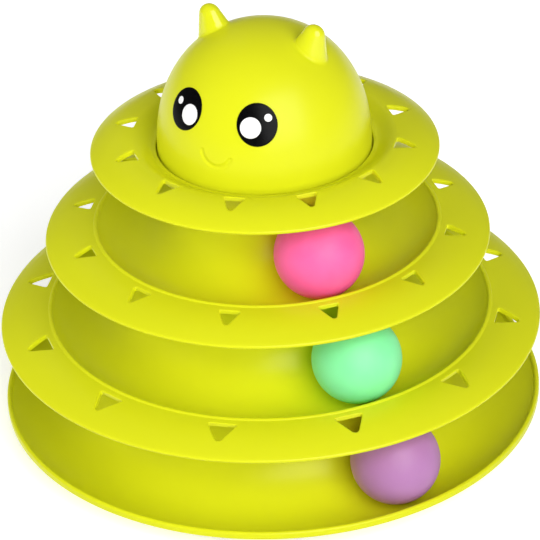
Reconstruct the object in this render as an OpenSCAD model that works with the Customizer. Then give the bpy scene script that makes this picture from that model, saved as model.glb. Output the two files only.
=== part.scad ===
/* [Balls] */
// Diameter of each ball
ball_d = 40; // [36:0.5:41]
// Wall of the hollow balls
ball_wall = 1.6; // [1:0.1:2.5]
// How far round the tower the purple ball lies, in degrees
purple_turn = -31.7; // [-60:0.1:0]
// How far round the tower the mint ball lies, in degrees
mint_turn = -35.2; // [-60:0.1:0]
// How far round the tower the pink ball lies, in degrees
pink_turn = -39.9; // [-60:0.1:0]

/* [Tower] */
// Height of the base rim above the floor
rim_h = 15; // [14.5:0.5:20]
// Rise from one tier to the next
tier_rise = 43.15; // [42:0.05:48]
// Radius of the base rim
rim_r = 125; // [122:0.5:130]
// Outer radius of the middle tray's flange
middle_r = 124.8; // [122:0.1:128]
// Outer radius of the upper tray's flange
upper_r = 101.4; // [99:0.1:104]
// Outer radius of the top ring
ring_r = 78.5; // [76:0.1:82]
// Wall of the trays, the ring and the head
wall = 2.2; // [1.8:0.1:2.6]

/* [Tracks] */
// Depth of each track below its lip
track_drop = 9.1; // [8:0.1:11]
// Distance from the lip to the track's lowest line
track_offset = 21; // [20:0.1:22]
// Radius of the sweep from the track up to the hub
sweep_r = 24; // [22:0.5:25]
// Distance from a flange's edge to the bead on its lip
flange_w = 23.15; // [20:0.05:25]
// How far a flange's edge lies below its tray's level
flange_drop = 5.8; // [4:0.1:8]
// How far a flanged tray's lip stands above its level
lip_rise = 1.3; // [0.8:0.1:1.8]
// How far a flange arches above a straight line
flange_arch = 1.5; // [0.8:0.1:2]
// Radius of the bead on each lip
bead_r = 1.1; // [0.8:0.1:1.5]

/* [Windows] */
// Number of windows in each flange
window_count = 12; // [6:1:16]
// Width of the middle tray's windows
middle_window_w = 12.4; // [10:0.1:14]
// Length of the middle tray's windows
middle_window_l = 10.2; // [8:0.1:12]
// Width of the upper tray's windows
upper_window_w = 9.2; // [8:0.1:11]
// Length of the upper tray's windows
upper_window_l = 8.8; // [7:0.1:11]
// Width of the top ring's windows
ring_window_w = 9.1; // [8:0.1:11]
// Length of the top ring's windows
ring_window_l = 8.9; // [7:0.1:11]
// How far the top ring's windows are turned, in degrees
ring_window_turn = -1.1; // [-5:0.1:5]
// Radius at the ends of a window's flat side
window_corner = 0.8; // [0.5:0.1:1.2]
// Radius at a window's tip, as a share of its width
window_tip_share = 0.16; // [0.12:0.01:0.2]

/* [Top ring] */
// Radius at which the ring is highest
crest_r = 60; // [57:0.1:63]
// How far the ring's crest stands above its edge
crest_rise = 6.7; // [5:0.05:8]
// How far the ring dips from its crest to the head
crest_dip = 4.45; // [3:0.05:6]
// Depth of the recess that the head sits in
recess_depth = 4; // [3:0.1:6]
// Radius of the hole in the middle of the ring
ring_hole_r = 22; // [15:0.5:24]

/* [Head] */
// Radius of the head at its foot
head_r = 48.3; // [46:0.1:49]
// Height of the dome above the head's straight foot
dome_h = 56.5; // [50:0.1:60]
// Fullness of the dome, where 2 is an ellipse
dome_fullness = 2.17; // [2:0.01:2.5]
// Height of the straight foot that shows above the ring
foot_show = 0.5; // [0.2:0.1:3]
// Gap round the head's foot
head_gap = 0.6; // [0.4:0.1:1]
// How far the face is turned from the front, in degrees
face_turn = -1.3; // [-5:0.1:5]

/* [Ears] */
// Sideways place of each ear's tip
ear_x = 25.5; // [22:0.1:28]
// How far the ears lie behind the tower's axis
ear_back = 1; // [-3:0.1:5]
// Height of each ear's tip above the top of the dome
ear_rise = 5.4; // [3:0.1:8]
// Radius of each ear's tip
ear_tip_r = 4.9; // [4:0.1:6]
// How far each ear leans outwards, in degrees
ear_lean = 17.3; // [10:0.1:25]
// Angle between an ear's side and its middle, in degrees
ear_taper = 18.5; // [14:0.1:22]
// Length of each ear below its tip's centre
ear_length = 17; // [14:0.5:20]

/* [Face] */
// How far each eye lies from the middle of the face, in degrees
eye_turn = 25.4; // [22:0.1:30]
// Height of the eyes above the head's shoulder
eye_h = 29.4; // [25:0.1:33]
// Width of each eye
eye_w = 17.9; // [14:0.1:20]
// Height of each eye
eye_l = 18.9; // [14:0.1:20]
// Radius of the large white spot
large_spot_r = 4.65; // [3:0.05:5.5]
// Radius of the small white spot
small_spot_r = 1.75; // [1:0.05:2.5]
// Thickness of each sticker
sticker_t = 0.3; // [0.2:0.05:0.6]
// Thickness of the white print on the stickers
print_t = 0.15; // [0.1:0.05:0.3]
// How far the smile is turned from the front, in degrees
smile_turn = 0.4; // [-5:0.1:5]
// Radius of the smile
smile_r = 7.4; // [6:0.1:9]
// Height of the smile's centre above the head's shoulder
smile_h = 18; // [15:0.1:22]
// Width of the smile's groove
smile_w = 1.8; // [0.8:0.1:2.2]
// Depth of the smile's groove
smile_depth = 0.6; // [0.3:0.1:1]

/* [Joints between tiers] */
// Depth of the locating skirt under each tier
skirt_h = 5; // [4:0.5:8]
// Wall of the locating skirt
skirt_wall = 3; // [2:0.1:4]
// Number of keys on each skirt
key_count = 3; // [2:1:4]
// Width of each key
key_w = 8; // [5:0.5:10]
// Height of each key
key_h = 3.5; // [2:0.1:4]
// Clearance round skirts, keys and pegs
fit = 0.3; // [0.2:0.05:0.5]
// Number of pegs under the head
peg_count = 3; // [2:1:4]
// Diameter of each peg
peg_d = 5; // [4:0.5:6]
// Length of each peg
peg_l = 4; // [3:0.5:5]

/* [Feet] */
// Diameter of each pad
pad_d = 12; // [8:0.5:14]
// How far each pad stands below the base
pad_proud = 1.5; // [1:0.1:2]
// Depth of the recess that holds each pad
pad_recess = 0.8; // [0.5:0.1:1.2]
// Width of the foot under the base track
foot_w = 16; // [15:0.5:20]

/* [Hidden] */
$fn = 96;
lime = [0.87, 0.9, 0.12];
// Number of rubber pads, one for each of their nodes
pad_count = 6;
// Straight face of the base rim below its rounded top
rim_face = 1;
// How far a root stays below the face of the wall that carries it
skin = 0.2;
// Gap from the lip to the flat side of a window
window_gap = 3.9;
// How far the ring's windows start inside its crest
ring_window_inset = 0.3;
// Gap under each ball, and from a tray's underside to the hub below it
rest_gap = 0.3;
// One overrun for every cut
over = 1;
// Wall of the bosses that carry the pegs
boss_wall = 1.6;
// Height of those bosses
boss_h = 8;
// Places of the white spots on an eye, as shares of its width across and its height up
large_spot_share = [0.16, -0.06];
small_spot_share = [-0.28, 0.155];
// Ends of the smile, in degrees round its centre
smile_from = 192;
smile_to = 340;
// Steps along a sweep, over a flange, round a corner, round a window's tip, over the dome,
// round an eye and along the smile
sweep_steps = 10;
arch_steps = 6;
corner_steps = 3;
tip_steps = 6;
dome_steps = 26;
eye_steps = 48;
smile_steps = 16;

middle_level = rim_h + tier_rise;
upper_level = middle_level + tier_rise;
ring_edge_z = upper_level + tier_rise - flange_drop;
rim_lip_r = rim_r - wall / 2;
middle_lip_r = middle_r - flange_w;
upper_lip_r = upper_r - flange_w;
base_floor_z = rim_h - track_drop;
middle_floor_z = middle_level - track_drop;
upper_floor_z = upper_level - track_drop;
// Height at which each tier rests on the hub below it
middle_seat_z = middle_floor_z - wall - rest_gap;
upper_seat_z = upper_floor_z - wall - rest_gap;
recess_top_z = ring_edge_z + crest_rise - crest_dip;
head_seat_z = recess_top_z - recess_depth;
ring_seat_z = head_seat_z - wall;
recess_r = head_r + head_gap;
// Radius of the ring's crest, which moves out with the recess if the head needs it
ring_crest_r = max(crest_r, recess_r + 2 * wall);
shoulder_z = recess_top_z + foot_show;
peg_circle_r = head_r - wall - peg_d / 2 - boss_wall / 2;
base_hub_r = hub_r(rim_lip_r);
middle_hub_r = hub_r(middle_lip_r);
upper_hub_r = hub_r(upper_lip_r);

function track_r(lip_r) = lip_r - track_offset;
function hub_r(lip_r) = track_r(lip_r) - sweep_r;

function arc(centre, r, from, to, steps) =
    [for (i = [0:steps]) let (a = from + (to - from) * i / steps) centre + r * [cos(a), sin(a)]];

function unit(v) = v / norm(v);
function side(v) = [-v[1], v[0]];
function reversed(list) = [for (i = [len(list) - 1:-1:0]) list[i]];

// A path moved sideways by d, with its corners mitred
function shifted(path, d) = [for (i = [0:len(path) - 1])
    let (
        before = unit(path[max(i, 1)] - path[max(i, 1) - 1]),
        after = unit(path[min(i + 1, len(path) - 1)] - path[min(i, len(path) - 2)]),
        across = unit(side(before) + side(after))
    )
    path[i] + across * d / (across * side(before))];

// Middle line of a track's wall: outer sweep, floor, inner sweep and hub,
// where land is the width and drop the height that the lip itself takes up
function track_path(lip_r, lip_z, land, drop, hub_top) =
    let (
        run = track_offset - land,
        rise = track_drop - drop,
        outer_r = (run * run + rise * rise) / (2 * rise),
        lean = asin(run / outer_r),
        floor_r = track_r(lip_r),
        floor_z = lip_z - track_drop,
        outer = arc([floor_r, floor_z + outer_r], outer_r + wall / 2, 270 + lean, 270, sweep_steps),
        inner = arc([floor_r, floor_z + sweep_r], sweep_r + wall / 2, 270, 180, sweep_steps)
    )
    concat(outer, [for (i = [1:sweep_steps]) inner[i]], [[floor_r - sweep_r - wall / 2, hub_top]]);

// Middle line of a flange, from its edge to just before the place where it ends
function arched(edge, end) = [for (i = [0:arch_steps - 1])
    let (s = i / arch_steps)
    edge + (end - edge) * s + [0, 4 * flange_arch * s * (1 - s)]];

// A triangle with round corners, its flat side on the Y axis and its tip along X
function window_outline(w, l) =
    let (
        c = window_corner,
        t = w * window_tip_share,
        run = l - t - c,
        drop = w / 2 - c,
        lean = 90 - atan2(drop, run) + asin((t - c) / norm([run, drop])),
        right = arc([c, w / 2 - c], c, 180, lean, corner_steps),
        tip = arc([l - t, 0], t, lean, -lean, tip_steps),
        left = arc([c, c - w / 2], c, -lean, -180, corner_steps)
    )
    concat(right, tip, left);

// Radius of the dome at a height above its shoulder
function dome_r(h) = head_r * pow(1 - pow(h / dome_h, dome_fullness), 1 / dome_fullness);

// Slope of the dome's face at a height above its shoulder, in degrees above level
function dome_tilt(h) =
    let (r = dome_r(h))
    atan2(pow(h / dome_h, dome_fullness - 1) / dome_h, pow(r / head_r, dome_fullness - 1) / head_r);

function dome_points(grow) = [for (i = [0:dome_steps])
    let (a = 90 * i / dome_steps)
    [(head_r + grow) * pow(cos(a), 2 / dome_fullness),
        shoulder_z + (dome_h + grow) * pow(sin(a), 2 / dome_fullness)]];

module strip(path) {
    polygon(concat(shifted(path, wall / 2), reversed(shifted(path, -wall / 2))));
}

module turned() {
    rotate_extrude(convexity = 6) children();
}

// Repeats its children round the tower
module around(count, first = 0) {
    for (i = [0:count - 1]) rotate([0, 0, first + 360 * i / count]) children();
}

// Slots in a hub's top edge for the keys of the tier above
module key_slots(r, seat_z) {
    around(key_count)
        translate([r - wall - over, -key_w / 2 - fit, seat_z - key_h - fit])
            cube([wall + 2 * over, key_w + 2 * fit, key_h + fit + over]);
}

// Skirt and keys that drop into the hub of the tier below, with a seat out or in to the radius
// at which the floor that carries them lies
module locating_skirt(r, seat_z, root_z, floor_r) {
    outer = r - wall - fit;
    inner = outer - skirt_wall;
    seat_from = min(inner, floor_r);
    seat_to = max(r, floor_r);
    turned() polygon([[inner, seat_z - skirt_h], [outer, seat_z - skirt_h], [outer, seat_z],
        [r, seat_z], [r, root_z], [inner, root_z]]);
    turned() translate([seat_from, root_z + 2 * skin - wall])
        square([seat_to - seat_from, wall - 2 * skin]);
    around(key_count)
        translate([outer - skirt_wall / 2, -key_w / 2, seat_z - key_h])
            cube([r - fit - outer + skirt_wall / 2, key_w, key_h]);
}

module windows(start_r, w, l, z, turn = 0) {
    around(window_count, turn + 180 / window_count)
        translate([start_r, 0, z - flange_drop - wall])
            linear_extrude(height = flange_drop + crest_rise + 2 * wall) polygon(window_outline(w, l));
}

// A tray with its flange, bead, track and hub
module flanged_tray(edge_r, level, hub_top) {
    lip_r = edge_r - flange_w;
    edge = [edge_r - wall / 2, level - flange_drop];
    track = track_path(lip_r, level, bead_r, bead_r - lip_rise, hub_top);
    turned() {
        strip(concat(arched(edge, track[0]), track));
        translate(edge) circle(wall / 2);
        translate([lip_r, level + lip_rise - bead_r]) circle(bead_r);
    }
}

module base_tray() {
    lip = [rim_lip_r, rim_h - wall / 2];
    foot_r = track_r(rim_lip_r);
    face_end = [rim_lip_r, lip[1] - rim_face];
    track = track_path(rim_lip_r, rim_h, wall / 2, wall / 2 + rim_face, middle_seat_z);
    color(lime) difference() {
        union() {
            turned() {
                strip(concat([lip, face_end], track));
                translate(lip) circle(wall / 2);
            }
            turned() translate([foot_r - foot_w / 2, pad_proud])
                square([foot_w, base_floor_z - skin - pad_proud]);
        }
        key_slots(base_hub_r, middle_seat_z);
        around(pad_count) translate([foot_r, 0, pad_proud - over])
            cylinder(d = pad_d, h = pad_recess + over);
    }
}

module middle_tray() {
    color(lime) difference() {
        union() {
            flanged_tray(middle_r, middle_level, upper_seat_z);
            locating_skirt(base_hub_r, middle_seat_z, middle_floor_z - skin, track_r(middle_lip_r));
        }
        key_slots(middle_hub_r, upper_seat_z);
        windows(middle_lip_r + window_gap, middle_window_w, middle_window_l, middle_level);
    }
}

module upper_tray() {
    color(lime) difference() {
        union() {
            flanged_tray(upper_r, upper_level, ring_seat_z);
            locating_skirt(middle_hub_r, upper_seat_z, upper_floor_z - skin, track_r(upper_lip_r));
        }
        key_slots(upper_hub_r, ring_seat_z);
        windows(upper_lip_r + window_gap, upper_window_w, upper_window_l, upper_level);
    }
}

module top_ring() {
    edge = [ring_r - wall / 2, ring_edge_z];
    dip_r = recess_r + wall / 2;
    crest_z = ring_edge_z + crest_rise - wall / 2;
    dip = [for (i = [0:sweep_steps])
        let (s = i / sweep_steps)
        [ring_crest_r + (dip_r - ring_crest_r) * s, crest_z - crest_dip * (1 - cos(180 * s)) / 2]];
    ledge = [[dip_r, head_seat_z - wall / 2], [ring_hole_r, head_seat_z - wall / 2]];
    color(lime) difference() {
        union() {
            turned() {
                strip(concat(arched(edge, dip[0]), dip, ledge));
                translate(edge) circle(wall / 2);
            }
            locating_skirt(upper_hub_r, ring_seat_z, head_seat_z - skin, dip_r);
        }
        windows(ring_crest_r - ring_window_inset, ring_window_w, ring_window_l, ring_edge_z + flange_drop,
            ring_window_turn);
        around(peg_count) translate([peg_circle_r, 0, ring_seat_z - over])
            cylinder(d = peg_d + 2 * fit, h = wall + 2 * over);
    }
}

module dome(grow, bottom) {
    turned() polygon(concat([[0, bottom], [head_r + grow, bottom]], dome_points(grow)));
}

// One ear, to the right of the face, made thinner all over by cut
module ear(cut) {
    tip = ear_tip_r - cut;
    below = -tip * sin(ear_taper);
    translate([ear_x, ear_back, shoulder_z + dome_h + ear_rise - ear_tip_r]) rotate([0, ear_lean, 0]) {
        sphere(r = tip);
        translate([0, 0, -ear_length]) cylinder(h = ear_length - below,
            r1 = tip / cos(ear_taper) + ear_length * tan(ear_taper), r2 = tip * cos(ear_taper));
    }
}

module both_ears(cut) {
    ear(cut);
    mirror([1, 0, 0]) ear(cut);
}

module smile_cut() {
    path = arc([0, 0], smile_r, smile_from, smile_to, smile_steps);
    band = concat([for (p = path) p * (1 + smile_w / smile_r / 2)],
        reversed([for (p = path) p * (1 - smile_w / smile_r / 2)]));
    intersection() {
        translate([0, 0, shoulder_z + smile_h]) rotate([90, 0, 0])
            linear_extrude(height = head_r + over) polygon(band);
        difference() {
            dome(over, head_seat_z);
            dome(-smile_depth, head_seat_z - over);
        }
    }
}

module cat_head() {
    color(lime) {
        difference() {
            union() {
                dome(0, head_seat_z);
                rotate([0, 0, face_turn]) both_ears(0);
            }
            dome(-wall, head_seat_z - over);
            rotate([0, 0, face_turn]) both_ears(wall);
            rotate([0, 0, smile_turn]) smile_cut();
        }
        around(peg_count) translate([peg_circle_r, 0, head_seat_z]) {
            cylinder(d = peg_d + 2 * boss_wall, h = boss_h);
            translate([0, 0, -peg_l]) cylinder(d = peg_d, h = peg_l + boss_h);
        }
    }
}

// Stands its children on an eye's place, X down the face and Y across it towards the other eye
module on_eye(sign) {
    rotate([0, 0, face_turn - 90 + sign * eye_turn])
        translate([dome_r(eye_h), 0, shoulder_z + eye_h]) rotate([0, 90 - dome_tilt(eye_h), 0])
            mirror([0, sign > 0 ? 1 : 0, 0]) children();
}

// The layer between two sizes of the dome, within its children
module on_dome(inner, outer) {
    intersection() {
        difference() {
            dome(outer, shoulder_z);
            dome(inner, shoulder_z - over);
        }
        children();
    }
}

module eye_sticker(sign) {
    color("black") on_dome(0, sticker_t)
        on_eye(sign) translate([0, 0, -eye_w / 2]) linear_extrude(height = eye_w)
            polygon([for (i = [0:eye_steps - 1])
                let (a = 360 * i / eye_steps) [eye_l / 2 * cos(a), eye_w / 2 * sin(a)]]);
}

module eye_highlights(sign) {
    color("white") on_dome(sticker_t, sticker_t + print_t) on_eye(sign) {
        translate([-eye_l * large_spot_share[1], eye_w * large_spot_share[0], -eye_w / 2])
            cylinder(r = large_spot_r, h = eye_w);
        translate([-eye_l * small_spot_share[1], eye_w * small_spot_share[0], -eye_w / 2])
            cylinder(r = small_spot_r, h = eye_w);
    }
}

module ball(lip_r, floor_z) {
    translate([track_r(lip_r), 0, floor_z + rest_gap + ball_d / 2]) difference() {
        sphere(d = ball_d);
        sphere(d = ball_d - 2 * ball_wall);
    }
}

module purple_ball() {
    color([0.72, 0.5, 0.78]) rotate([0, 0, purple_turn]) ball(rim_lip_r, base_floor_z);
}

module mint_ball() {
    color([0.5, 0.95, 0.66]) rotate([0, 0, mint_turn]) ball(middle_lip_r, middle_floor_z);
}

module pink_ball() {
    color([0.98, 0.45, 0.75]) rotate([0, 0, pink_turn]) ball(upper_lip_r, upper_floor_z);
}

module anti_slip_pad(index) {
    color("dimgray") rotate([0, 0, 360 * (index - 1) / pad_count]) translate([track_r(rim_lip_r), 0, 0])
        cylinder(d = pad_d, h = pad_proud + pad_recess);
}

base_tray();
middle_tray();
upper_tray();
top_ring();
cat_head();
eye_sticker(-1);  // left_eye_sticker
eye_sticker(1);  // right_eye_sticker
eye_highlights(-1);  // left_eye_highlights
eye_highlights(1);  // right_eye_highlights
purple_ball();
mint_ball();
pink_ball();
anti_slip_pad(1);  // anti_slip_pad_1
anti_slip_pad(2);  // anti_slip_pad_2
anti_slip_pad(3);  // anti_slip_pad_3
anti_slip_pad(4);  // anti_slip_pad_4
anti_slip_pad(5);  // anti_slip_pad_5
anti_slip_pad(6);  // anti_slip_pad_6
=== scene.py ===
import math

import bmesh
import bpy
import numpy as np
from mathutils import Matrix, Vector


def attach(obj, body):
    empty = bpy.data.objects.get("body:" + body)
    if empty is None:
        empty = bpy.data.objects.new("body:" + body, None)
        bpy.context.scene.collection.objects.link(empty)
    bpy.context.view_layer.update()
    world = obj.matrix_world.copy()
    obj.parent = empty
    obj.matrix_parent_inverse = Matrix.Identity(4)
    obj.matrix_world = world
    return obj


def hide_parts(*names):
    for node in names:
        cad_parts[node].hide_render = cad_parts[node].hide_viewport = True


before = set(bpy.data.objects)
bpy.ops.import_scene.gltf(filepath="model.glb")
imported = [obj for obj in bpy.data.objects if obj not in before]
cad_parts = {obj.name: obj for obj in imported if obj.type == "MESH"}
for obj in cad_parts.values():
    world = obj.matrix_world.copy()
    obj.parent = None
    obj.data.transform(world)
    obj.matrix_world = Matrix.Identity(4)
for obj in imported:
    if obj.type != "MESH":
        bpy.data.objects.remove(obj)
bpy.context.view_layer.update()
mm = 0.001
print("frame loaded")

# Sizes that several mouldings share, all in mm as in the CAD source
shell = {"wall": 2.2, "spinSteps": 240, "edgeRound": 0.5, "cornerSteps": 4, "edgeSteps": 8,
         "filletSteps": 4, "leastGap": 0.5, "mergeWithin": 0.0005, "sharpFrom": 32,
         "flatWeight": 80, "bevelSteps": 3}
track = {"drop": 9.1, "offset": 21, "sweep": 24, "steps": 22}
flange = {"width": 23.15, "drop": 5.8, "arch": 1.5, "steps": 14, "lipRise": 1.3, "beadRadius": 1.1,
          "beadFillet": 0.5, "windows": 12}
locator = {"skirtHeight": 5, "skirtWall": 3, "fit": 0.3, "keys": 3, "keyWidth": 8, "keyHeight": 3.5,
           "keyRound": 0.3, "keyRoot": 0.2, "overrun": 1}


# Curves in the plane of a section, where x is the radius and y the height

def arc(centre, radius, start, end, steps):
    # Angles are in degrees, anticlockwise from outwards
    angles = [math.radians(start + (end - start) * i / steps) for i in range(steps + 1)]
    return [centre + radius * Vector((math.cos(a), math.sin(a))) for a in angles]


def arcBetween(centre, start, end, steps):
    a, b = start - centre, end - centre
    first = math.degrees(math.atan2(a.y, a.x))
    turn = (math.degrees(math.atan2(b.y, b.x)) - first + 180) % 360 - 180  # the short way round
    return arc(centre, a.length, first, first + turn, steps)


def roundCorner(before, corner, after, size):
    # A curve that leaves the corner's sides at this distance from it
    start, end = [corner + (side - corner).normalized() * size for side in (before, after)]
    shares = [i / shell["cornerSteps"] for i in range(shell["cornerSteps"] + 1)]
    return [start * (1 - t) ** 2 + corner * 2 * t * (1 - t) + end * t * t for t in shares]


def circlesCross(centreA, radiusA, centreB, radiusB, side):
    # The crossing to the left of the way from A to B where side is 1, and to its right where it is -1
    gap = centreB - centreA
    along = (gap.length_squared + radiusA ** 2 - radiusB ** 2) / (2 * gap.length)
    across = Vector((-gap.y, gap.x)).normalized()
    return centreA + gap.normalized() * along + across * side * math.sqrt(radiusA ** 2 - along ** 2)


def lineCrosses(origin, direction, centre, radius):
    # The crossing that is further along
    along = direction.dot(centre - origin)
    miss = (origin + direction * along - centre).length
    return origin + direction * (along + math.sqrt(radius ** 2 - miss ** 2))


def angleAt(centre, radius, r):
    # Where the lower half of a circle is as far out as r
    return 360 - math.degrees(math.acos((r - centre.x) / radius))


def angleOf(point, centre):
    return math.degrees(math.atan2(point.y - centre.y, point.x - centre.x)) % 360


def archPath(edge, end):
    # A flange's middle line, arched up on its way in from the edge
    shares = [i / flange["steps"] for i in range(flange["steps"] + 1)]
    return [edge.lerp(end, s) + Vector((0, 4 * flange["arch"] * s * (1 - s))) for s in shares]


def archAt(edge, end, r):
    # A place on that line, its direction outwards and how sharply it curves
    height, width = flange["arch"], edge.x - end.x
    s = (edge.x - r) / width
    along = Vector((width, edge.y - end.y - 4 * height * (1 - 2 * s))).normalized()
    return edge.lerp(end, s) + Vector((0, 4 * height * s * (1 - s))), along, 8 * height / width ** 2


def shifted(path, distance):
    # The same path further to its left
    moved = []
    for i, here in enumerate(path):
        last = (here - path[i - 1]).normalized() if i else (path[1] - here).normalized()
        ahead = (path[i + 1] - here).normalized() if i < len(path) - 1 else last
        across = Vector((-last.y - ahead.y, last.x + ahead.x)).normalized()
        moved.append(here + across * distance / across.dot(Vector((-last.y, last.x))))
    return moved


# Meshes

def meshOf(name, mesh):
    bmesh.ops.remove_doubles(mesh, verts=mesh.verts, dist=shell["mergeWithin"] * mm)
    bmesh.ops.recalc_face_normals(mesh, faces=mesh.faces)
    data = bpy.data.meshes.new(name)
    mesh.to_mesh(data)
    mesh.free()
    piece = bpy.data.objects.new(name, data)
    bpy.context.scene.collection.objects.link(piece)
    return piece


def spunMesh(outline, closed=True, steps=None):
    mesh = bmesh.new()
    points = [mesh.verts.new((p.x * mm, 0, p.y * mm)) for p in outline]
    ends = points[1:] + points[:1] if closed else points[1:]
    edges = [mesh.edges.new(pair) for pair in zip(points, ends)]
    bmesh.ops.spin(mesh, geom=points + edges, cent=(0, 0, 0), axis=(0, 0, 1), angle=2 * math.pi,
                   steps=steps or shell["spinSteps"], use_merge=True)
    return mesh


def copyRound(mesh, count):
    everything = mesh.verts[:] + mesh.edges[:] + mesh.faces[:]
    bmesh.ops.spin(mesh, geom=everything, cent=(0, 0, 0), axis=(0, 0, 1), steps=count - 1,
                   angle=2 * math.pi * (count - 1) / count, use_duplicate=True)


def joinInto(mesh, part):
    data = bpy.data.meshes.new("part")
    part.to_mesh(data)
    part.free()
    mesh.from_mesh(data)
    bpy.data.meshes.remove(data)


def addCylinder(mesh, radius, height, middle, turn=0, steps=32):
    # Upright, with its middle at a place that is then turned round the axis
    place = Matrix.Rotation(turn, 4, "Z") @ Matrix.Translation(middle * mm)
    bmesh.ops.create_cone(mesh, cap_ends=True, segments=steps, radius1=radius * mm, radius2=radius * mm,
                          depth=height * mm, matrix=place)


def bevelEdges(mesh, edges, size):
    bmesh.ops.bevel(mesh, geom=edges, offset=size * mm, offset_type="OFFSET", segments=shell["bevelSteps"],
                    profile=0.5, affect="EDGES", material=-1)


def evaluated(piece):
    # A new mesh of the piece with its modifiers applied
    bpy.context.view_layer.update()
    seen = piece.evaluated_get(bpy.context.evaluated_depsgraph_get())
    return bpy.data.meshes.new_from_object(seen)


def combine(piece, other, operation):
    modifier = piece.modifiers.new("combine", "BOOLEAN")
    modifier.operation = operation
    modifier.solver = "EXACT"
    modifier.object = other
    result = evaluated(piece)
    piece.modifiers.clear()
    piece.data = result
    bpy.data.objects.remove(other)


def smoothed(piece):
    piece.data.shade_smooth()
    piece.data.set_sharp_from_angle(angle=math.radians(shell["sharpFrom"]))
    modifier = piece.modifiers.new("evenNormals", "WEIGHTED_NORMAL")
    modifier.keep_sharp = True
    modifier.weight = shell["flatWeight"]


def blockRing(name, low, high, rounding=0):
    mesh = bmesh.new()
    size = high - low
    bmesh.ops.create_cube(mesh, size=1, matrix=Matrix.Translation((low + high) / 2 * mm)
                          @ Matrix.Diagonal((*size * mm, 1)))
    if rounding:
        bevelEdges(mesh, mesh.edges[:], rounding)
    copyRound(mesh, locator["keys"])
    return meshOf(name, mesh)


# Windows: triangles with round corners, the flat side towards the axis, and their edges rounded over

windowShape = {"corner": 0.8, "tipShare": 0.16, "cornerSteps": 5, "tipSteps": 9, "lipRound": 0.5,
               "footRound": 0.15, "roundSteps": 4, "overrun": 1.5}


def windowOutline(width, length):
    # The tip's radius is a share of the width
    c, t = windowShape["corner"], width * windowShape["tipShare"]
    run, drop = length - t - c, width / 2 - c
    lean = 90 - math.degrees(math.atan2(drop, run) - math.asin((t - c) / math.hypot(run, drop)))
    steps = windowShape["cornerSteps"]
    return (arc(Vector((c, width / 2 - c)), c, 180, lean, steps)
            + arc(Vector((length - t, 0)), t, lean, -lean, windowShape["tipSteps"])
            + arc(Vector((c, c - width / 2)), c, -lean, -180, steps))


def windowLevels():
    # Height above the face and growth of the outline, from the top of the cut to its bottom
    over, steps = windowShape["overrun"], windowShape["roundSteps"]
    quarter = [math.radians(90 * i / steps) for i in range(steps + 1)]
    lip, foot = windowShape["lipRound"], windowShape["footRound"]
    top = [(lip * math.sin(a) - lip, lip - lip * math.cos(a)) for a in reversed(quarter)]
    bottom = [(foot - foot * math.sin(a) - shell["wall"], foot - foot * math.cos(a)) for a in quarter]
    return [(over, lip)] + top + bottom + [(-shell["wall"] - over, foot)]


def windowCutter(size, length, start, slope, curve):
    # All the cuts of one tier: each is drawn flat, bent to the arch of the face and set on it at start
    width = size["windowWidth"]
    half = width / 2
    inradius = half * length / (half + math.hypot(half, length))
    centre = Vector((inradius * mm, 0, 0))
    mesh = bmesh.new()
    face = mesh.faces.new([mesh.verts.new((p.x * mm, p.y * mm, 0)) for p in windowOutline(width, length)])
    edges, here = face.edges[:], face.verts[:]
    lastScale = 1
    for i, (height, grow) in enumerate(windowLevels()):
        if i:
            made = bmesh.ops.extrude_edge_only(mesh, edges=edges)["geom"]
            edges = [part for part in made if isinstance(part, bmesh.types.BMEdge)]
            here = [part for part in made if isinstance(part, bmesh.types.BMVert)]
        scale = (inradius + grow) / inradius
        bmesh.ops.scale(mesh, vec=(scale / lastScale, scale / lastScale, 1), verts=here,
                        space=Matrix.Translation(-centre))
        bmesh.ops.translate(mesh, vec=(0, 0, height * mm - here[0].co.z), verts=here)
        lastScale = scale
    bmesh.ops.edgeloop_fill(mesh, edges=edges)
    for vert in mesh.verts:
        vert.co.z -= curve / 2 * (vert.co.x / mm - length / 2) ** 2 * mm
    place = Matrix.Translation((start.x * mm, 0, start.y * mm)) @ Matrix.Rotation(slope, 4, "Y")
    turn = Matrix.Rotation(math.pi / flange["windows"] + math.radians(size["windowTurn"]), 4, "Z")
    bmesh.ops.transform(mesh, matrix=turn @ place, verts=mesh.verts)
    copyRound(mesh, flange["windows"])
    return meshOf("windows", mesh)


# Trays. The floor of a track is its lowest place in the section

def hubOver(floor):
    return floor.x - track["sweep"]


def skirtSection(hubBelow, seat):
    outer = hubBelow - shell["wall"] - locator["fit"]
    inner = outer - locator["skirtWall"]
    low = seat - locator["skirtHeight"]
    size = shell["edgeRound"]
    corners = [Vector((inner, seat)), Vector((inner, low)), Vector((outer, low)), Vector((outer, seat)),
               Vector((hubBelow, seat))]
    return inner, roundCorner(*corners[0:3], size) + roundCorner(*corners[1:4], size) + corners[3:5]


def hubRim(hub, hubTop):
    # The inner edge of a hub's top, from the outside in
    inner = hub - shell["wall"]
    return roundCorner(Vector((hub, hubTop)), Vector((inner, hubTop)), Vector((inner, 0)),
                       shell["edgeRound"])


def underside(hub, floor, hubTop, below):
    # The hub's inside and the sweep under the track, with what hangs from it
    innerCentre = Vector((floor.x, floor.y + track["sweep"]))
    radius = track["sweep"] + shell["wall"]
    steps = track["steps"] // 2
    first, hanging, last = below
    return (hubRim(hub, hubTop)
            + arc(innerCentre, radius, 180, angleAt(innerCentre, radius, first), steps)
            + hanging
            + arc(innerCentre, radius, angleAt(innerCentre, radius, last), 270, steps)[:-1])


def insideTrack(hub, floor, hubTop):
    # From the track's floor up the hub and over the outer edge of its top
    innerCentre = Vector((floor.x, floor.y + track["sweep"]))
    corner = Vector((hub, hubTop))
    return (arc(innerCentre, track["sweep"], 270, 180, track["steps"])[1:]
            + roundCorner(Vector((hub, 0)), corner, Vector((0, hubTop)), shell["edgeRound"]))


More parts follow.
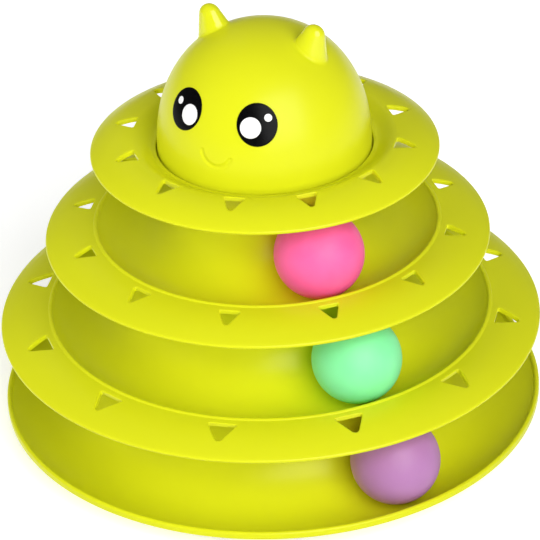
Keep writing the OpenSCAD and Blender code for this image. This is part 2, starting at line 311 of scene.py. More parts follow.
def flangedOutline(size, below):
    # A tray's section: the arched flange, the bead along the lip, the track and the hub, and back below
    wall, bead, fillet = shell["wall"], flange["beadRadius"], flange["beadFillet"]
    edgeSteps, filletSteps, leastGap = shell["edgeSteps"], shell["filletSteps"], shell["leastGap"]
    lip = Vector((size["edgeRadius"] - flange["width"], size["level"] + flange["lipRise"]))
    floor = Vector((lip.x - track["offset"], size["level"] - track["drop"]))
    hub = hubOver(floor)
    run, climb = track["offset"] - bead, lip.y - floor.y - bead
    outerRadius = (run * run + climb * climb) / (2 * climb)
    sweepCentre = floor + Vector((0, outerRadius))
    lean = math.asin(run / outerRadius)
    corner = sweepCentre + (outerRadius + wall / 2) * Vector((math.sin(lean), -math.cos(lean)))
    edge = Vector((size["edgeRadius"] - wall / 2, size["level"] - flange["drop"]))
    path = archPath(edge, corner)
    along = (path[-2] - corner).normalized()
    up = Vector((-along.y, along.x))
    beadCentre = lip - Vector((0, bead))
    outerFillet = lineCrosses(corner + up * (wall / 2 + fillet), along, beadCentre, bead + fillet)
    innerFillet = circlesCross(beadCentre, bead + fillet, sweepCentre, outerRadius - fillet, 1)
    other = circlesCross(beadCentre, bead + fillet, sweepCentre, outerRadius - fillet, -1)
    if other.x < innerFillet.x:
        innerFillet = other
    onBeadOut = beadCentre + (outerFillet - beadCentre) * bead / (bead + fillet)
    onBeadIn = beadCentre + (innerFillet - beadCentre) * bead / (bead + fillet)
    onTrack = sweepCentre + (innerFillet - sweepCentre) * outerRadius / (outerRadius - fillet)
    edgeUp = (path[0] - path[1]).normalized()
    upAngle = math.degrees(math.atan2(edgeUp.x, -edgeUp.y))
    under = lineCrosses(corner - up * wall / 2, along, sweepCentre, outerRadius + wall)
    outline = arc(edge, wall / 2, upAngle - 180, upAngle, edgeSteps)
    outline += [p for p in shifted(path, -wall / 2)[1:] if p.x > outerFillet.x + leastGap]
    outline += arcBetween(outerFillet, outerFillet - up * fillet, onBeadOut, filletSteps)
    outline += arcBetween(beadCentre, onBeadOut, onBeadIn, edgeSteps)[1:]
    outline += arcBetween(innerFillet, onBeadIn, onTrack, filletSteps)[1:]
    outline += arc(sweepCentre, outerRadius, angleOf(onTrack, sweepCentre), 270, track["steps"])[1:]
    outline += insideTrack(hub, floor, size["hubTop"])
    outline += underside(hub, floor, size["hubTop"], below)
    outline += arc(sweepCentre, outerRadius + wall, 270, angleOf(under, sweepCentre), track["steps"])
    outline += [p for p in reversed(shifted(path, wall / 2)[1:]) if p.x > under.x + leastGap]
    return outline, edge, corner, floor


def cutSlots(piece, hub, seat):
    fit, over = locator["fit"], locator["overrun"]
    half = locator["keyWidth"] / 2 + fit
    low = Vector((hub - shell["wall"] - over, -half, seat - locator["keyHeight"] - fit))
    high = Vector((hub + over, half, seat + over))
    combine(piece, blockRing("slots", low, high), "DIFFERENCE")


def addKeys(piece, hub, seat):
    fit, half = locator["fit"], locator["keyWidth"] / 2
    outer = hub - shell["wall"] - fit
    low = Vector((outer - locator["skirtWall"] / 2, -half, seat - locator["keyHeight"]))
    high = Vector((hub - fit, half, seat + locator["keyRoot"]))
    combine(piece, blockRing("keys", low, high, locator["keyRound"]), "UNION")


def cutWindows(piece, size, edge, end):
    middleRadius = size["windowStart"] + size["windowLength"] / 2
    place, along, curve = archAt(edge, end, middleRadius)
    face = place + Vector((-along.y, along.x)) * shell["wall"] / 2
    slope = math.atan2(-along.y, along.x)
    start = face + along * (size["windowStart"] - face.x) / along.x
    cutter = windowCutter(size, size["windowLength"] / along.x, start, slope, curve)
    combine(piece, cutter, "DIFFERENCE")


def placed(piece, body, node):
    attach(piece, body)
    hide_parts(node)
    return piece


base = {"rimRadius": 125, "level": 15, "rimFace": 1, "rimSteps": 10, "faceRound": 0.6, "hubTop": 46.55,
        "footWidth": 16, "footBottom": 1.5}


def makeBase():
    wall = shell["wall"]
    lip = Vector((base["rimRadius"] - wall / 2, base["level"] - wall / 2))
    floor = Vector((lip.x - track["offset"], base["level"] - track["drop"]))
    hub = hubOver(floor)
    run, rise = track["offset"] - wall / 2, track["drop"] - wall / 2 - base["rimFace"]
    outerRadius = (run * run + rise * rise) / (2 * rise)
    sweepCentre = floor + Vector((0, outerRadius))
    faceEnd = lip - Vector((wall / 2, base["rimFace"]))
    lean = math.degrees(math.asin(run / outerRadius))
    sweepTop = arc(sweepCentre, outerRadius, 270 + lean, 270, track["steps"])
    half = base["footWidth"] / 2
    bottom, size = base["footBottom"], shell["edgeRound"]
    feet = [Vector((floor.x - half, floor.y)), Vector((floor.x - half, bottom)),
            Vector((floor.x + half, bottom)), Vector((floor.x + half, floor.y))]
    innerCentre = Vector((floor.x, floor.y + track["sweep"]))
    innerRadius = track["sweep"] + wall
    footAngle = angleAt(innerCentre, innerRadius, floor.x - half)
    underRadius = outerRadius + wall
    outerFoot = angleAt(sweepCentre, underRadius, floor.x + half)
    outerEnd = angleAt(sweepCentre, underRadius, lip.x + wall / 2)
    outline = arc(lip, wall / 2, 0, 180, base["rimSteps"])
    outline += roundCorner(lip - Vector((wall / 2, 0)), faceEnd, sweepTop[2], base["faceRound"])
    outline += sweepTop[1:]
    outline += insideTrack(hub, floor, base["hubTop"])
    outline += hubRim(hub, base["hubTop"])
    outline += arc(innerCentre, innerRadius, 180, footAngle, track["steps"])
    outline += roundCorner(*feet[0:3], size) + roundCorner(*feet[1:4], size)
    outline += arc(sweepCentre, underRadius, outerFoot, outerEnd, track["steps"])
    piece = meshOf("baseTrayMoulding", spunMesh(outline))
    cutSlots(piece, hub, base["hubTop"])
    smoothed(piece)
    return placed(piece, "base", "base_tray"), floor


middle = {"edgeRadius": 124.8, "level": 58.15, "hubTop": 89.7, "windowStart": 105.55,
          "windowWidth": 12.4, "windowLength": 10.2, "windowTurn": 0}
upper = {"edgeRadius": 101.4, "level": 101.3, "hubTop": 134.7, "windowStart": 82.15,
         "windowWidth": 9.2, "windowLength": 8.8, "windowTurn": 0}


def makeTray(name, body, node, size, seat, floorBelow):
    # It sits on the top of the hub below
    hubBelow = hubOver(floorBelow)
    inner, hanging = skirtSection(hubBelow, seat)
    outline, edge, corner, floor = flangedOutline(size, (inner, hanging, hubBelow))
    piece = meshOf(name, spunMesh(outline))
    addKeys(piece, hubBelow, seat)
    cutSlots(piece, hubOver(floor), size["hubTop"])
    cutWindows(piece, size, edge, corner)
    smoothed(piece)
    return placed(piece, body, node), floor


ring = {"edgeRadius": 78.5, "edgeHeight": 138.65, "crestRadius": 60, "crestRise": 6.7, "crestDip": 4.45,
        "recessRadius": 48.9, "recessDepth": 4, "holeRadius": 22, "windowStart": 59.7,
        "windowWidth": 9.1, "windowLength": 8.9, "windowTurn": -1.1, "dipSteps": 16, "pegHole": 2.8,
        "pegHoleDepth": 8}
pegs = {"count": 3, "circle": 42.8}


def makeRing(seat, floorBelow):
    wall, hubBelow = shell["wall"], hubOver(floorBelow)
    edge = Vector((ring["edgeRadius"] - wall / 2, ring["edgeHeight"]))
    crest = Vector((ring["crestRadius"], ring["edgeHeight"] + ring["crestRise"] - wall / 2))
    dipRadius = ring["recessRadius"] + wall / 2
    steps = ring["dipSteps"]
    dip = [Vector((crest.x + (dipRadius - crest.x) * i / steps,
                   crest.y - ring["crestDip"] * (1 - math.cos(math.pi * i / steps)) / 2))
           for i in range(steps + 1)]
    ledge = ring["edgeHeight"] + ring["crestRise"] - ring["crestDip"] - ring["recessDepth"] - wall / 2
    path = archPath(edge, crest) + dip[1:]
    path += [Vector((dipRadius, ledge)), Vector((ring["holeRadius"], ledge))]
    over, under = shifted(path, -wall / 2), shifted(path, wall / 2)
    inner, hanging = skirtSection(hubBelow, seat)
    upAngle = angleOf(over[0], edge)
    outline = arc(edge, wall / 2, upAngle - 180, upAngle, shell["edgeSteps"]) + over[1:-3]
    outline += roundCorner(*over[-4:-1], shell["edgeRound"]) + [over[-2], over[-1], under[-1]]
    outline += [Vector((inner, seat))] + hanging[1:] + under[-2:0:-1]
    piece = meshOf("topRingMoulding", spunMesh(outline))
    addKeys(piece, hubBelow, seat)
    cutWindows(piece, ring, edge, crest)
    holes = bmesh.new()
    addCylinder(holes, ring["pegHole"], ring["pegHoleDepth"], Vector((pegs["circle"], 0, ledge)))
    copyRound(holes, pegs["count"])
    combine(piece, meshOf("pegHoles", holes), "DIFFERENCE")
    smoothed(piece)
    return placed(piece, "ring", "top_ring")


# Head: the dome and its ears as distances in mm, so that the crease between them can be filleted

head = {"radius": 48.3, "height": 56.5, "fullness": 2.17, "shoulder": 141.4, "seat": 136.9, "wall": 2.2,
        "turn": -1.3, "crease": 1, "domeSteps": 40, "spinSteps": 120, "cutOff": 4, "sharpFrom": 50,
        "pegDiameter": 5, "pegLength": 4, "bossDiameter": 8.2, "bossHeight": 8}
ears = {"across": 25.8, "behind": 0.9, "tipHeight": 198.5, "tipRadius": 5.05, "lean": 17.3, "taper": 19.5,
        "length": 20, "foreAft": 0.82, "steps": 10, "spinSteps": 48, "polishFrom": 0.6, "polishFull": 2}
smile = {"across": 1.3, "height": 159.4, "radius": 7.3, "reach": 1.5, "depth": 0.55, "start": 192,
         "end": 334}
skin = {"voxel": 0.83, "creaseVoxels": 1.5, "creaseCuts": 2, "smileVoxels": 2, "smileCuts": 3,
        "probe": 0.01, "rounds": 3}


def domeDistance(points):
    n, wide, tall = head["fullness"], head["radius"], head["height"]
    across = np.hypot(points[:, 0], points[:, 1]) / wide
    up = np.maximum(points[:, 2] - head["shoulder"], 0) / tall
    total = np.maximum(across ** n + up ** n, 1e-9) ** (1 / n)
    slope = total ** (1 - n) * np.hypot(across ** (n - 1) / wide, up ** (n - 1) / tall)
    return (total - 1) / slope


def facing(points):
    # The same points, turned so that the face looks to -Y
    turn = math.radians(head["turn"])
    x = points[:, 0] * math.cos(turn) + points[:, 1] * math.sin(turn)
    y = points[:, 1] * math.cos(turn) - points[:, 0] * math.sin(turn)
    return x, y, points[:, 2]


def earDistance(points, side):
    lean, taper = math.radians(ears["lean"]), math.radians(ears["taper"])
    x, y, z = facing(points)
    out, fore, up = x * side - ears["across"], (y - ears["behind"]) / ears["foreAft"], z - ears["tipHeight"]
    across = np.hypot(out * math.cos(lean) - up * math.sin(lean), fore)
    down = -out * math.sin(lean) - up * math.cos(lean)
    onCone = across * math.sin(taper) + down * math.cos(taper) > 0
    cone = across * math.cos(taper) - down * math.sin(taper)
    return np.where(onCone, cone, np.hypot(across, down)) - ears["tipRadius"]


def headDistance(points):
    distance, crease = domeDistance(points), head["crease"]
    for side in (-1, 1):
        ear = earDistance(points, side)
        share = np.maximum(crease - np.abs(distance - ear), 0) / crease
        distance = np.minimum(distance, ear) - share ** 2 * crease / 4
    return distance


def outward(distance, points):
    step = skin["probe"]
    slopes = [distance(points + step * axis) - distance(points - step * axis) for axis in np.eye(3)]
    slopes = np.stack(slopes, axis=1)
    return slopes / np.linalg.norm(slopes, axis=1, keepdims=True)


def placesOf(verts):
    return np.array([vert.co / mm for vert in verts])


def moveTo(verts, points):
    for vert, point in zip(verts, points):
        vert.co = Vector(point) * mm


def settled(points, distance, rounds):
    # The same points, brought to where the distance is 0
    for _ in range(rounds):
        points = points - outward(distance, points) * distance(points)[:, None]
    return points


def settle(verts, distance):
    moveTo(verts, settled(placesOf(verts), distance, skin["rounds"]))


def roughHead():
    # The dome and both ears overlapping, with a foot long enough to cut off
    wide, tall, power = head["radius"], head["height"], 2 / head["fullness"]
    angles = [math.pi / 2 * i / head["domeSteps"] for i in range(head["domeSteps"])]
    dome = [Vector((wide * math.cos(a) ** power, head["shoulder"] + tall * math.sin(a) ** power))
            for a in angles] + [Vector((0, head["shoulder"] + tall))]
    foot = head["seat"] - head["cutOff"]
    mesh = spunMesh([Vector((0, foot)), Vector((wide, foot))] + dome, closed=False,
                    steps=head["spinSteps"])
    tip = arc(Vector((0, 0)), ears["tipRadius"], 90, ears["taper"], ears["steps"])
    taper = math.radians(ears["taper"])
    wideEnd = ears["tipRadius"] / math.cos(taper) + ears["length"] * math.tan(taper)
    outline = tip + [Vector((wideEnd, -ears["length"])), Vector((0, -ears["length"]))]
    for side in (-1, 1):
        ear = spunMesh(outline, closed=False, steps=ears["spinSteps"])
        tipPlace = Vector((side * ears["across"], ears["behind"], ears["tipHeight"])) * mm
        place = (Matrix.Rotation(math.radians(head["turn"]), 4, "Z") @ Matrix.Translation(tipPlace)
                 @ Matrix.Diagonal((1, ears["foreAft"], 1, 1))
                 @ Matrix.Rotation(math.radians(side * ears["lean"]), 4, "Y"))
        bmesh.ops.transform(ear, matrix=place, verts=ear.verts)
        joinInto(mesh, ear)
    return meshOf("roughHead", mesh)


def smileDistance(points):
    # Distance from the smile's middle line, as seen from the front
    x, y, z = facing(points)
    x, z = x - smile["across"], z - smile["height"]
    angle = np.radians(np.clip(np.degrees(np.arctan2(z, x)) % 360, smile["start"], smile["end"]))
    away = np.hypot(x - smile["radius"] * np.cos(angle), z - smile["radius"] * np.sin(angle))
    return np.where(y < 0, away, head["radius"])


def nearTo(mesh, away, reach):
    return [vert for vert, distance in zip(mesh.verts[:], away(placesOf(mesh.verts))) if distance < reach]


def refine(mesh, away, reach, cuts):
    near = set(nearTo(mesh, away, reach))
    edges = [edge for edge in mesh.edges if edge.verts[0] in near and edge.verts[1] in near]
    bmesh.ops.subdivide_edges(mesh, edges=edges, cuts=cuts, use_grid_fill=True)


def creaseDistance(points):
    ear = np.minimum(np.abs(earDistance(points, -1)), np.abs(earDistance(points, 1)))
    return np.maximum(np.abs(domeDistance(points)), ear)


def cutSmile(mesh):
    around = skin["smileVoxels"] * skin["voxel"]
    refine(mesh, smileDistance, smile["reach"] + around, skin["smileCuts"])
    verts = nearTo(mesh, smileDistance, smile["reach"] + skin["voxel"])
    settle(verts, headDistance)
    points = placesOf(verts)
    share = np.clip(smileDistance(points) / smile["reach"], 0, 1)
    depths = smile["depth"] * (1 + np.cos(math.pi * share)) / 2
    for vert, normal, depth in zip(verts, outward(headDistance, points), depths):
        vert.co -= Vector(normal) * depth * mm


def addPegs(mesh):
    for diameter, low in ((head["pegDiameter"], -head["pegLength"]), (head["bossDiameter"], 0)):
        height = head["bossHeight"] - low
        middle = Vector((pegs["circle"], 0, head["seat"] + low + height / 2))
        for i in range(pegs["count"]):
            addCylinder(mesh, diameter / 2, height, middle, 2 * math.pi * i / pegs["count"])


def polishEars(data):
    # For the material: 1 on the ears and 0 on the dome. Other pieces have none, which reads as 0
    points = placesOf(data.vertices)
    start, full = ears["polishFrom"], ears["polishFull"]
    values = np.clip((domeDistance(points) - start) / (full - start), 0, 1)
    data.attributes.new("polish", "FLOAT", "POINT").data.foreach_set("value", values.astype(np.float32))


def makeHead():
    rough = roughHead()
    modifier = rough.modifiers.new("oneSkin", "REMESH")
    modifier.mode = "VOXEL"
    modifier.voxel_size = skin["voxel"] * mm
    mesh = bmesh.new()
    mesh.from_mesh(evaluated(rough))
    bpy.data.objects.remove(rough)
    settle(mesh.verts[:], headDistance)
    refine(mesh, creaseDistance, skin["creaseVoxels"] * skin["voxel"], skin["creaseCuts"])
    settle(mesh.verts[:], headDistance)
    bmesh.ops.bisect_plane(mesh, geom=mesh.verts[:] + mesh.edges[:] + mesh.faces[:],
                           plane_co=(0, 0, head["seat"] * mm), plane_no=(0, 0, 1), clear_inner=True)
    cutSmile(mesh)
    bmesh.ops.recalc_face_normals(mesh, faces=mesh.faces)
    bmesh.ops.solidify(mesh, geom=mesh.faces[:], thickness=head["wall"] * mm)
    addPegs(mesh)
    piece = meshOf("catHeadMoulding", mesh)
    polishEars(piece.data)
    piece.data.shade_smooth()
    piece.data.set_sharp_from_angle(angle=math.radians(head["sharpFrom"]))
    return placed(piece, "head", "cat_head")


# Eyes: printed discs laid on the dome, each with a rounded rim. A white spot is given as how far it
# lies towards the other eye, how far up, and its radius

eyes = {"left": {"azimuth": -116.2, "height": 171.85, "halfWidth": 9.6, "halfHeight": 9.65,
                 "spots": ((3.5, -1.45, 4.65), (-4.85, 2.25, 1.75))},
        "right": {"azimuth": -66.8, "height": 171.65, "halfWidth": 9.05, "halfHeight": 9.65,
                  "spots": ((2.86, -1.33, 4.65), (-4.85, 3.1, 1.75))},
        "thickness": 0.3, "print": 0.12, "rim": 0.22, "rimSteps": 4, "sunk": 0.05, "rings": 12,
        "steps": 96, "rounds": 4}


def discMesh(radius, low, high):
    # A flat disc with a rounded upper rim, in mm: x and y along the dome, z the height above it
    rim = eyes["rim"]
    inside = radius - rim
    top = [Vector((inside * i / eyes["rings"], high)) for i in range(eyes["rings"])]
    angles = [math.pi / 2 * i / eyes["rimSteps"] for i in range(eyes["rimSteps"] + 1)]
    drop = min(rim, high - low)
    corner = [Vector((inside + rim * math.sin(a), high - drop * (1 - math.cos(a)))) for a in angles]
    bottom = [Vector((p.x, low)) for p in reversed(top)]
    return spunMesh(top + corner + [Vector((radius, low))] + bottom, closed=False, steps=eyes["steps"])


def layOnDome(mesh, eye, across, up, stretch=1):
    # Carries the disc's own places over to the dome at an eye's middle
    turn = math.radians(eye["azimuth"])
    out = Vector((math.cos(turn), math.sin(turn), 0))
    share = (eye["height"] - head["shoulder"]) / head["height"]
    reach = head["radius"] * (1 - share ** head["fullness"]) ** (1 / head["fullness"])
    middle = np.array([out * reach + Vector((0, 0, eye["height"]))])
    normal = outward(domeDistance, middle)[0]
    right = np.array((-out.y, out.x, 0))
    upward = np.cross(normal, right)
    flat = placesOf(mesh.verts)
    points = middle + right * (flat[:, :1] + across) + upward * (flat[:, 1:2] * stretch + up)
    points = settled(points, domeDistance, eyes["rounds"])
    moveTo(mesh.verts, points + outward(domeDistance, points) * flat[:, 2:])


def makeEye(side):
    eye, inward = eyes[side], 1 if side == "left" else -1
    sticker = discMesh(eye["halfWidth"], -eyes["sunk"], eyes["thickness"])
    layOnDome(sticker, eye, 0, 0, eye["halfHeight"] / eye["halfWidth"])
    piece = meshOf(side + "EyePrint", sticker)
    piece.data.shade_smooth()
    placed(piece, "head", side + "_eye_sticker")
    white = bmesh.new()
    for across, up, radius in eye["spots"]:
        disc = discMesh(radius, eyes["thickness"] - eyes["sunk"], eyes["thickness"] + eyes["print"])
        layOnDome(disc, eye, across * inward, up)
        joinInto(white, disc)
    highlights = meshOf(side + "EyeSpots", white)
    highlights.data.shade_smooth()
    return piece, placed(highlights, "head", side + "_eye_highlights")


# Balls, each tilted so that the poles of its mesh don't stand upright

balls = {"diameter": 40, "gap": 0.3, "across": 128, "upward": 96, "tilt": 35,
         "purple": {"azimuth": -31.7, "shades": ("#B279B0", "#B67EB4")},
         "mint": {"azimuth": -35.2, "shades": ("#84EBA6", "#8AF0AC")},
         "pink": {"azimuth": -39.9, "shades": ("#FA5FA2", "#FF66AA")}}


def makeBall(colour, floor):
    turn = math.radians(balls[colour]["azimuth"])
    middle = Vector((floor.x * math.cos(turn), floor.x * math.sin(turn),
                     floor.y + balls["gap"] + balls["diameter"] / 2))
    place = Matrix.Translation(middle * mm) @ Matrix.Rotation(math.radians(balls["tilt"]), 4, "X")
    mesh = bmesh.new()
    bmesh.ops.create_uvsphere(mesh, u_segments=balls["across"], v_segments=balls["upward"],
                              radius=balls["diameter"] / 2 * mm, matrix=place)
    piece = meshOf(colour + "Ball", mesh)
    piece.data.shade_smooth()
    return placed(piece, colour + "_ball", colour + "_ball")


# Pads under the base's track

pads = {"count": 6, "diameter": 12, "height": 2.3, "round": 0.4, "steps": 64}


def makePad(index, floor):
    mesh = bmesh.new()
    addCylinder(mesh, pads["diameter"] / 2, pads["height"], Vector((floor.x, 0, pads["height"] / 2)),
                2 * math.pi * index / pads["count"], pads["steps"])
    rims = [edge for edge in mesh.edges if any(len(face.verts) > 4 for face in edge.link_faces)]
    bevelEdges(mesh, rims, pads["round"])
    piece = meshOf("rubberPad%d" % (index + 1), mesh)
    smoothed(piece)
    return placed(piece, "base", "anti_slip_pad_%d" % (index + 1))


# Materials: patterns are sized in mm and read the piece's own coordinates

def linear(hexColour):
    parts = [int(hexColour[i:i + 2], 16) / 255 for i in (1, 3, 5)]
    return (*(v / 12.92 if v <= 0.04045 else ((v + 0.055) / 1.055) ** 2.4 for v in parts), 1)


def perMetre(sizeMm):
    return 1 / (sizeMm * mm)


def addNode(tree, kind, inputs=None, **settings):
    node = tree.nodes.new(kind)
    for name, value in settings.items():
        setattr(node, name, value)
    for name, value in (inputs or {}).items():
        if isinstance(value, bpy.types.NodeSocket):
            tree.links.new(value, node.inputs[name])
        else:
            node.inputs[name].default_value = value
    return node


def newMaterial(name):
    material = bpy.data.materials.new(name)
    material.use_nodes = True
    tree = material.node_tree
    tree.nodes.clear()
    return material, tree, addNode(tree, "ShaderNodeTexCoord").outputs["Object"]


def ramp(tree, factor, stops):
    node = addNode(tree, "ShaderNodeValToRGB", {"Fac": factor})
    for i, (position, colour) in enumerate(stops):
        element = node.color_ramp.elements[i] if i < 2 else node.color_ramp.elements.new(position)
        element.position = position
        element.color = colour
    return node.outputs["Color"]


def noise(tree, place, sizeMm, detail=2.0):
    inputs = {"Vector": place, "Scale": perMetre(sizeMm), "Detail": detail}
    return addNode(tree, "ShaderNodeTexNoise", inputs).outputs["Fac"]


def spread(tree, pattern, low, high):
    # A noise, most of which lies from 0.2 to 0.8, brought to run from low to high
    inputs = {"Value": pattern, "From Min": 0.2, "From Max": 0.8, "To Min": low, "To Max": high}
    return addNode(tree, "ShaderNodeMapRange", inputs, interpolation_type="SMOOTHSTEP").outputs["Result"]


def between(tree, share, low, high):
    # Goes from low to high, either of which may be a pattern, as the share goes from 0 to 1
    inputs = {"Value": share, "To Min": low, "To Max": high}
    return addNode(tree, "ShaderNodeMapRange", inputs).outputs["Result"]


def bump(tree, heights):
    # Layers of (pattern, depth in mm), the broadest first
    normal = None
    for pattern, depth in heights:
        inputs = {"Height": pattern, "Distance": depth * mm, "Strength": 1.0}
        if normal:
            inputs["Normal"] = normal
        normal = addNode(tree, "ShaderNodeBump", inputs).outputs["Normal"]
    return normal


def surface(tree, inputs):
    shader = addNode(tree, "ShaderNodeBsdfPrincipled", inputs)
    addNode(tree, "ShaderNodeOutputMaterial", {"Surface": shader.outputs["BSDF"]})


def limePolypropylene():
    # Injection-moulded polypropylene: evenly coloured, a little dull from a very fine texture in its
    # face, and glossy on the ears, whose cavities are polished so that they draw out of the mould
    material, tree, place = newMaterial("limePolypropylene")
    colour = ramp(tree, noise(tree, place, 90, 1), ((0.2, linear("#DBDE1B")), (0.8, linear("#DDE01E"))))
    polish = addNode(tree, "ShaderNodeAttribute", attribute_name="polish").outputs["Fac"]
    dull = spread(tree, noise(tree, place, 30, 1), 0.3, 0.33)
    surface(tree, {
        "Base Color": colour, "IOR": 1.45, "Specular IOR Level": between(tree, polish, 0.22, 0.5),
        "Roughness": between(tree, polish, dull, 0.1),
        "Subsurface Weight": 0.2, "Subsurface Scale": 2.5 * mm, "Subsurface Radius": (1.0, 1.0, 0.15),
        "Normal": bump(tree, ((noise(tree, place, 1.2, 1), 0.0006),))})
    return material


def blackGlossInk():
    # Printed ink under a clear gloss coat
    material, tree, place = newMaterial("blackGlossInk")
    colour = ramp(tree, noise(tree, place, 1.5), ((0.3, linear("#050506")), (0.7, linear("#09090A"))))
    surface(tree, {"Base Color": colour, "Roughness": spread(tree, noise(tree, place, 4), 0.2, 0.25),
                   "IOR": 1.45, "Specular IOR Level": 0.08,
                   "Normal": bump(tree, ((noise(tree, place, 5, 1), 0.003),))})
    return material


def whiteGlossInk():
    # Opaque white ink over the black
    material, tree, place = newMaterial("whiteGlossInk")
    colour = ramp(tree, noise(tree, place, 1.5), ((0.3, linear("#F4F4F3")), (0.7, linear("#FBFBFA"))))
    surface(tree, {"Base Color": colour, "Roughness": spread(tree, noise(tree, place, 4), 0.25, 0.35),
                   "IOR": 1.5, "Normal": bump(tree, ((noise(tree, place, 3, 1), 0.005),))})
    return material


def satinBallPlastic(name, darker, lighter):
    # Thin moulded plastic with a satin face that scatters light a little
    material, tree, place = newMaterial(name)
    colour = ramp(tree, noise(tree, place, 14, 3), ((0.3, linear(darker)), (0.7, linear(lighter))))
    surface(tree, {
        "Base Color": colour, "IOR": 1.49,
        "Roughness": spread(tree, noise(tree, place, 3, 3), 0.46, 0.56),
        "Subsurface Weight": 0.25, "Subsurface Scale": 2.5 * mm, "Subsurface Radius": (1.0, 0.9, 0.9),
        "Normal": bump(tree, ((noise(tree, place, 0.5, 2), 0.006),))})
    return material


def blackRubber():
    # Moulded rubber with a dry, slightly dusty face
    material, tree, place = newMaterial("blackRubber")
    colour = ramp(tree, noise(tree, place, 2, 3), ((0.3, linear("#303030")), (0.7, linear("#3C3B3A"))))
    surface(tree, {"Base Color": colour, "Roughness": spread(tree, noise(tree, place, 1.2, 3), 0.75, 0.9),
                   "Normal": bump(tree, ((noise(tree, place, 0.3, 2), 0.02),))})
    return material


# Studio: a pale floor, two soft lamps at the front and a weak one behind. Lengths are in metres here,
# azimuth 0 looks along +Y, and only a lamp with shine shows in the plastic as a reflection

studio = {"floorColours": ("#EFEFEF", "#F1F1F1"), "floorSize": 400, "floorShown": 0.45, "ambient": 0.14,
          "aimHeight": 0.09, "lampDistance": 1.9}
lamps = {"key": {"azimuth": 50, "elevation": 30, "size": 1.6, "power": 40, "shine": True},
         "left": {"azimuth": -50, "elevation": 22, "size": 1.4, "power": 19, "shine": False},
         "back": {"azimuth": 207, "elevation": 35, "size": 1.4, "power": 5.5, "shine": False}}


def backTowards(view):
    # From the object towards a lamp or the camera
    azimuth, elevation = math.radians(view["azimuth"]), math.radians(view["elevation"])
    return Vector((math.sin(azimuth) * math.cos(elevation), -math.cos(azimuth) * math.cos(elevation),
                   math.sin(elevation)))


def placeLamp(name, light):
    back = backTowards(light)
    data = bpy.data.lights.new(name, "AREA")
    data.size = light["size"]
    data.energy = light["power"]
    lamp = bpy.data.objects.new(name, data)
    lamp.location = Vector((0, 0, studio["aimHeight"])) + back * studio["lampDistance"]
    lamp.rotation_euler = back.to_track_quat("Z", "Y").to_euler()
    lamp.visible_glossy = light["shine"]
    bpy.context.scene.collection.objects.link(lamp)


def makeWorld():
    world = bpy.data.worlds.new("studioRoom")
    world.use_nodes = True
    tree = world.node_tree
    tree.nodes.clear()
    light = {"Color": (1, 1, 1, 1), "Strength": studio["ambient"]}
    background = addNode(tree, "ShaderNodeBackground", light)
    addNode(tree, "ShaderNodeOutputWorld", {"Surface": background.outputs["Background"]})
    bpy.context.scene.world = world


def makeFloor():
    # Matt white board, lit up where it is seen or mirrored so that it shows white and keeps its shadows
    mesh = bmesh.new()
    bmesh.ops.create_grid(mesh, x_segments=1, y_segments=1, size=studio["floorSize"] / 2)
    floor = meshOf("studioFloor", mesh)
    material, tree, place = newMaterial("mattWhiteBoard")
    darker, lighter = [linear(shade) for shade in studio["floorColours"]]
    colour = ramp(tree, noise(tree, place, 80), ((0.3, darker), (0.7, lighter)))
    matt = addNode(tree, "ShaderNodeBsdfDiffuse", {"Color": colour, "Roughness": 0.5})
    rays = addNode(tree, "ShaderNodeLightPath").outputs
    seen = rays["Is Camera Ray"]
    for name in ("Is Glossy Ray", "Is Transmission Ray"):
        either = addNode(tree, "ShaderNodeMath", operation="MAXIMUM")
        tree.links.new(seen, either.inputs[0])
        tree.links.new(rays[name], either.inputs[1])
        seen = either.outputs["Value"]
    strength = addNode(tree, "ShaderNodeMapRange", {"Value": seen, "To Max": studio["floorShown"]})
    light = {"Color": (1, 1, 1, 1), "Strength": strength.outputs["Result"]}
    lit = addNode(tree, "ShaderNodeEmission", light)
    both = addNode(tree, "ShaderNodeAddShader")
    tree.links.new(matt.outputs["BSDF"], both.inputs[0])
    tree.links.new(lit.outputs["Emission"], both.inputs[1])
    addNode(tree, "ShaderNodeOutputMaterial", {"Surface": both.outputs["Shader"]})
    floor.data.materials.append(material)


# Camera, matched to the photograph, with its lengths in metres: aimPixel is where the point on the
# tower's axis at aimHeight shows

cameraView = {"azimuth": 27.3, "elevation": 33.19, "roll": -2.0, "distance": 1.36871, "focalPixels": 2900.7,
              "imagePixels": 540, "sensor": 36, "clipEnd": 20, "aimHeight": 0.013,
              "aimPixel": (272.9, 379.5)}


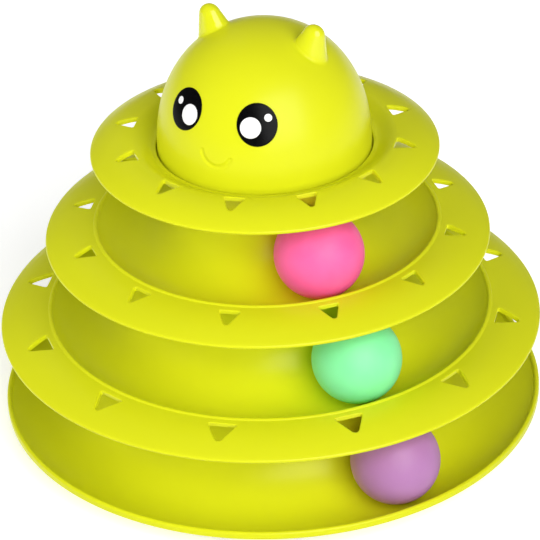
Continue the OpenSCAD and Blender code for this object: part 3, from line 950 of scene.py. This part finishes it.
def makeCamera():
    back = backTowards(cameraView)
    azimuth = math.radians(cameraView["azimuth"])
    right = Vector((math.cos(azimuth), math.sin(azimuth), 0))
    up = back.cross(right)
    level = Matrix((right, up, back)).transposed().to_4x4()
    middlePixel = cameraView["imagePixels"] / 2
    toAim = Vector((cameraView["aimPixel"][0] - middlePixel, middlePixel - cameraView["aimPixel"][1],
                    -cameraView["focalPixels"]))
    offCentre = Vector((0, 0, -1)).rotation_difference(toAim).to_matrix().to_4x4()
    data = bpy.data.cameras.new("camera")
    data.sensor_width = cameraView["sensor"]
    data.lens = cameraView["focalPixels"] / cameraView["imagePixels"] * cameraView["sensor"]
    data.clip_end = cameraView["clipEnd"]
    camera = bpy.data.objects.new("camera", data)
    place = Matrix.Translation(Vector((0, 0, cameraView["aimHeight"])) + back * cameraView["distance"])
    roll = Matrix.Rotation(math.radians(cameraView["roll"]), 4, "Z")
    camera.matrix_world = place @ level @ roll @ offCentre.inverted()
    bpy.context.scene.collection.objects.link(camera)
    bpy.context.scene.camera = camera


makeCamera()
makeWorld()
makeFloor()
for name, light in lamps.items():
    placeLamp(name, light)
bpy.context.scene.view_settings.view_transform = "Standard"
print("studio ready")

lime = limePolypropylene()
baseTray, baseFloor = makeBase()
middleTray, middleFloor = makeTray("middleTrayMoulding", "middle", "middle_tray", middle, base["hubTop"],
                                   baseFloor)
upperTray, upperFloor = makeTray("upperTrayMoulding", "upper", "upper_tray", upper, middle["hubTop"],
                                 middleFloor)
topRing = makeRing(upper["hubTop"], upperFloor)
catHead = makeHead()
for piece in (baseTray, middleTray, upperTray, topRing, catHead):
    piece.data.materials.clear()
    piece.data.materials.append(lime)
print("mouldings made")

black, white = blackGlossInk(), whiteGlossInk()
for side in ("left", "right"):
    sticker, highlights = makeEye(side)
    sticker.data.materials.append(black)
    highlights.data.materials.append(white)
for colour, floor in (("purple", baseFloor), ("mint", middleFloor), ("pink", upperFloor)):
    plastic = satinBallPlastic(colour + "SatinPlastic", *balls[colour]["shades"])
    makeBall(colour, floor).data.materials.append(plastic)
rubber = blackRubber()
for index in range(pads["count"]):
    makePad(index, baseFloor).data.materials.append(rubber)
print("eyes, balls and pads made")
